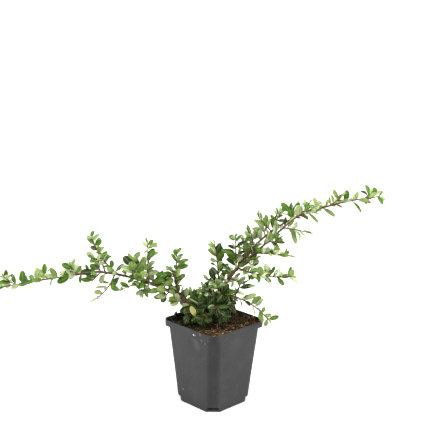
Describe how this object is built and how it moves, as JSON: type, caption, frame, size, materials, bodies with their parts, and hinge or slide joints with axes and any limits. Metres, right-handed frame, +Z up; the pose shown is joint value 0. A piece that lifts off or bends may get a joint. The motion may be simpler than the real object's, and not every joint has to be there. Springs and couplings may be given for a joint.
{
  "type": "potted bearberry cotoneaster",
  "caption": "Young spreading shrub with long arching shoots of small oval leaves, growing in a square tapered nursery pot filled with soil.",
  "frame": {"origin": "centre of the pot's flat underside", "axes": "+X along the plant's spread, towards the higher of its two long shoots, +Z up; a corner of the pot faces -Y"},
  "size_m": [0.4427, 0.1142, 0.2622],
  "materials": {
    "pot_plastic": "satin",
    "soil": "rough",
    "bark": "matte",
    "foliage": "satin"
  },
  "bodies": {
    "root": {"pot": "pot_plastic", "soil": "soil", "trunk": "bark", "left_limb": "bark", "right_stem": "bark", "right_limb_lower": "bark", "right_limb_upper": "bark", "left_root_spray": "foliage", "left_low_leaves": "foliage", "left_first_shoot": "foliage", "left_dark_pair": "foliage", "left_middle_leaves": "foliage", "left_under_shoot": "foliage", "left_broad_leaves": "foliage", "left_second_shoot": "foliage", "left_hanging_tuft": "foliage", "left_limb_tuft": "foliage", "left_third_shoot": "foliage", "left_leaning_shoot": "foliage", "left_bare_shoot": "foliage", "left_upright_shoot": "foliage", "left_falling_twig": "foliage", "left_spur": "foliage", "left_end_spray": "foliage", "crown_left_fan": "foliage", "crown_left_low": "foliage", "crown_front_left": "foliage", "crown_front": "foliage", "crown_front_high": "foliage", "crown_front_far": "foliage", "crown_front_right": "foliage", "crown_middle": "foliage", "crown_right_front": "foliage", "crown_right_low": "foliage", "crown_right_inner": "foliage", "crown_back_left": "foliage", "crown_back": "foliage", "crown_back_right": "foliage", "crown_upper_leaves": "foliage", "crown_upright_shoot": "foliage", "right_drooping_shoot": "foliage", "right_stem_front": "foliage", "right_stem_leaves": "foliage", "right_side_twig": "foliage", "right_pale_leaves": "foliage", "right_inner_shoot": "foliage", "right_spreading_shoot": "foliage", "right_fork_leaves": "foliage", "right_under_leaves": "foliage", "right_level_shoot": "foliage", "right_small_leaves": "foliage", "right_outer_shoot": "foliage", "right_joint_leaves": "foliage", "right_inner_tuft": "foliage", "right_narrow_tuft": "foliage", "right_long_leaves": "foliage", "right_high_leaves": "foliage", "right_dark_twig": "foliage", "right_upper_spray": "foliage", "right_end_spray": "foliage"}
  },
  "joints": []
}
